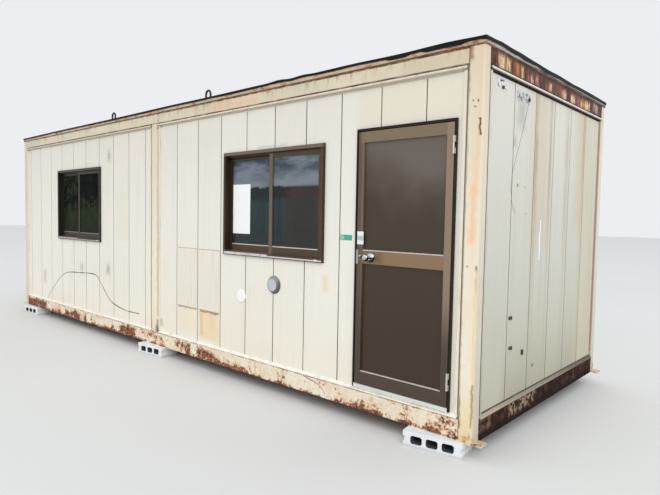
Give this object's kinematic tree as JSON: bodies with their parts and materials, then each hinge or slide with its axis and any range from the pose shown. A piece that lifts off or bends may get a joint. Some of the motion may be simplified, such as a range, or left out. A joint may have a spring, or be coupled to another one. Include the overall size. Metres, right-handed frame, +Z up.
{
  "type": "portable site cabin",
  "caption": "Long steel site cabin with sheet walls, sliding windows and an outward door, standing on concrete blocks.",
  "frame": {"origin": "on the ground, under the middle of the cabin", "axes": "+X along the long walls towards the door end, +Y from the door side to the back, +Z up"},
  "size_m": [7.32, 2.4888, 2.5839],
  "materials": {
    "frame_steel": "cream gloss paint, chalked, with orange rust",
    "floor_beam_steel": "cream paint over heavy flaking rust",
    "primed_steel": "red oxide primer",
    "siding": "pale cream baked paint, faintly streaked",
    "strip_steel": "cream paint with rusty edges",
    "roof_core": "weathered cream edge",
    "roof_sheet": "dark weathered sheet with rust",
    "eye_steel": "dark rusty round bar",
    "bronze_aluminium": "dark bronze anodised",
    "window_glass": "clear float glass",
    "door_frame_aluminium": "dark bronze anodised",
    "sill_aluminium": "bare aluminium, dusty",
    "door_rails": "bronze anodised, worn",
    "door_panels": "flat dark brown sheet",
    "hinge_steel": "dull steel",
    "knob_metal": "polished, slightly dull",
    "strike_metal": "satin",
    "vent_plastic": "grey, dusty",
    "cover_plastic": "white, dusty",
    "concrete": "pale dry concrete",
    "floor_board": "worn plywood",
    "ceiling_board": "white faced board"
  },
  "bodies": {
    "cabin": {"front_floor_beam": "floor_beam_steel", "back_floor_beam": "floor_beam_steel", "left_floor_beam": "floor_beam_steel", "right_floor_beam": "floor_beam_steel", "front_roof_beam": "frame_steel", "back_roof_beam": "frame_steel", "left_roof_beam": "frame_steel", "right_roof_beam": "frame_steel", "floor_joists": "primed_steel", "front_right_post": "frame_steel", "front_left_post": "frame_steel", "back_right_post": "frame_steel", "back_left_post": "frame_steel", "front_middle_post": "frame_steel", "back_middle_post": "frame_steel", "floor_board": "floor_board", "ceiling_board": "ceiling_board", "front_wall_left_bay": "siding", "front_wall_right_bay": "siding", "front_wall_over_door": "siding", "front_wall_beside_door": "siding", "door_step": "siding", "back_wall_left_bay": "siding", "back_wall_right_bay": "siding", "left_end_wall": "siding", "right_end_wall": "siding", "head_strips": "strip_steel", "base_strips": "strip_steel", "side_strips": "strip_steel", "roof_core": "roof_core", "roof_sheet": "roof_sheet", "front_lifting_eyes": "eye_steel", "back_lifting_eyes": "eye_steel", "left_window_frame": "bronze_aluminium", "right_window_frame": "bronze_aluminium", "left_window_jambs": "bronze_aluminium", "right_window_jambs": "bronze_aluminium", "left_window_outer_sash": "bronze_aluminium", "left_window_inner_sash": "bronze_aluminium", "right_window_outer_sash": "bronze_aluminium", "right_window_inner_sash": "bronze_aluminium", "left_window_panes": "window_glass", "right_window_panes": "window_glass", "door_frame": "door_frame_aluminium", "door_sill": "sill_aluminium", "frame_hinges": "hinge_steel", "strike_plate": "strike_metal", "vent_cap": "vent_plastic", "round_cover": "cover_plastic", "front_blocks": "concrete", "back_blocks": "concrete"},
    "door": {"door_leaf": "door_rails", "door_panels": "door_panels", "leaf_hinges": "hinge_steel", "door_roses": "knob_metal", "lock_plate": "strike_metal"},
    "knob": {"door_knobs": "knob_metal"}
  },
  "joints": [
    {"name": "door_hinge", "type": "hinge", "parent": "cabin", "child": "door", "pos_m": [3.421, -1.1645, 1.15], "axis": [0, 0, 1], "range_deg": [0, 110]},
    {"name": "knob_turn", "type": "hinge", "parent": "door", "child": "knob", "pos_m": [2.8045, -1.156, 1.176], "axis": [0, 1, 0], "range_deg": [-60, 60], "stiffness_Nm_per_rad": 0.3}
  ]
}
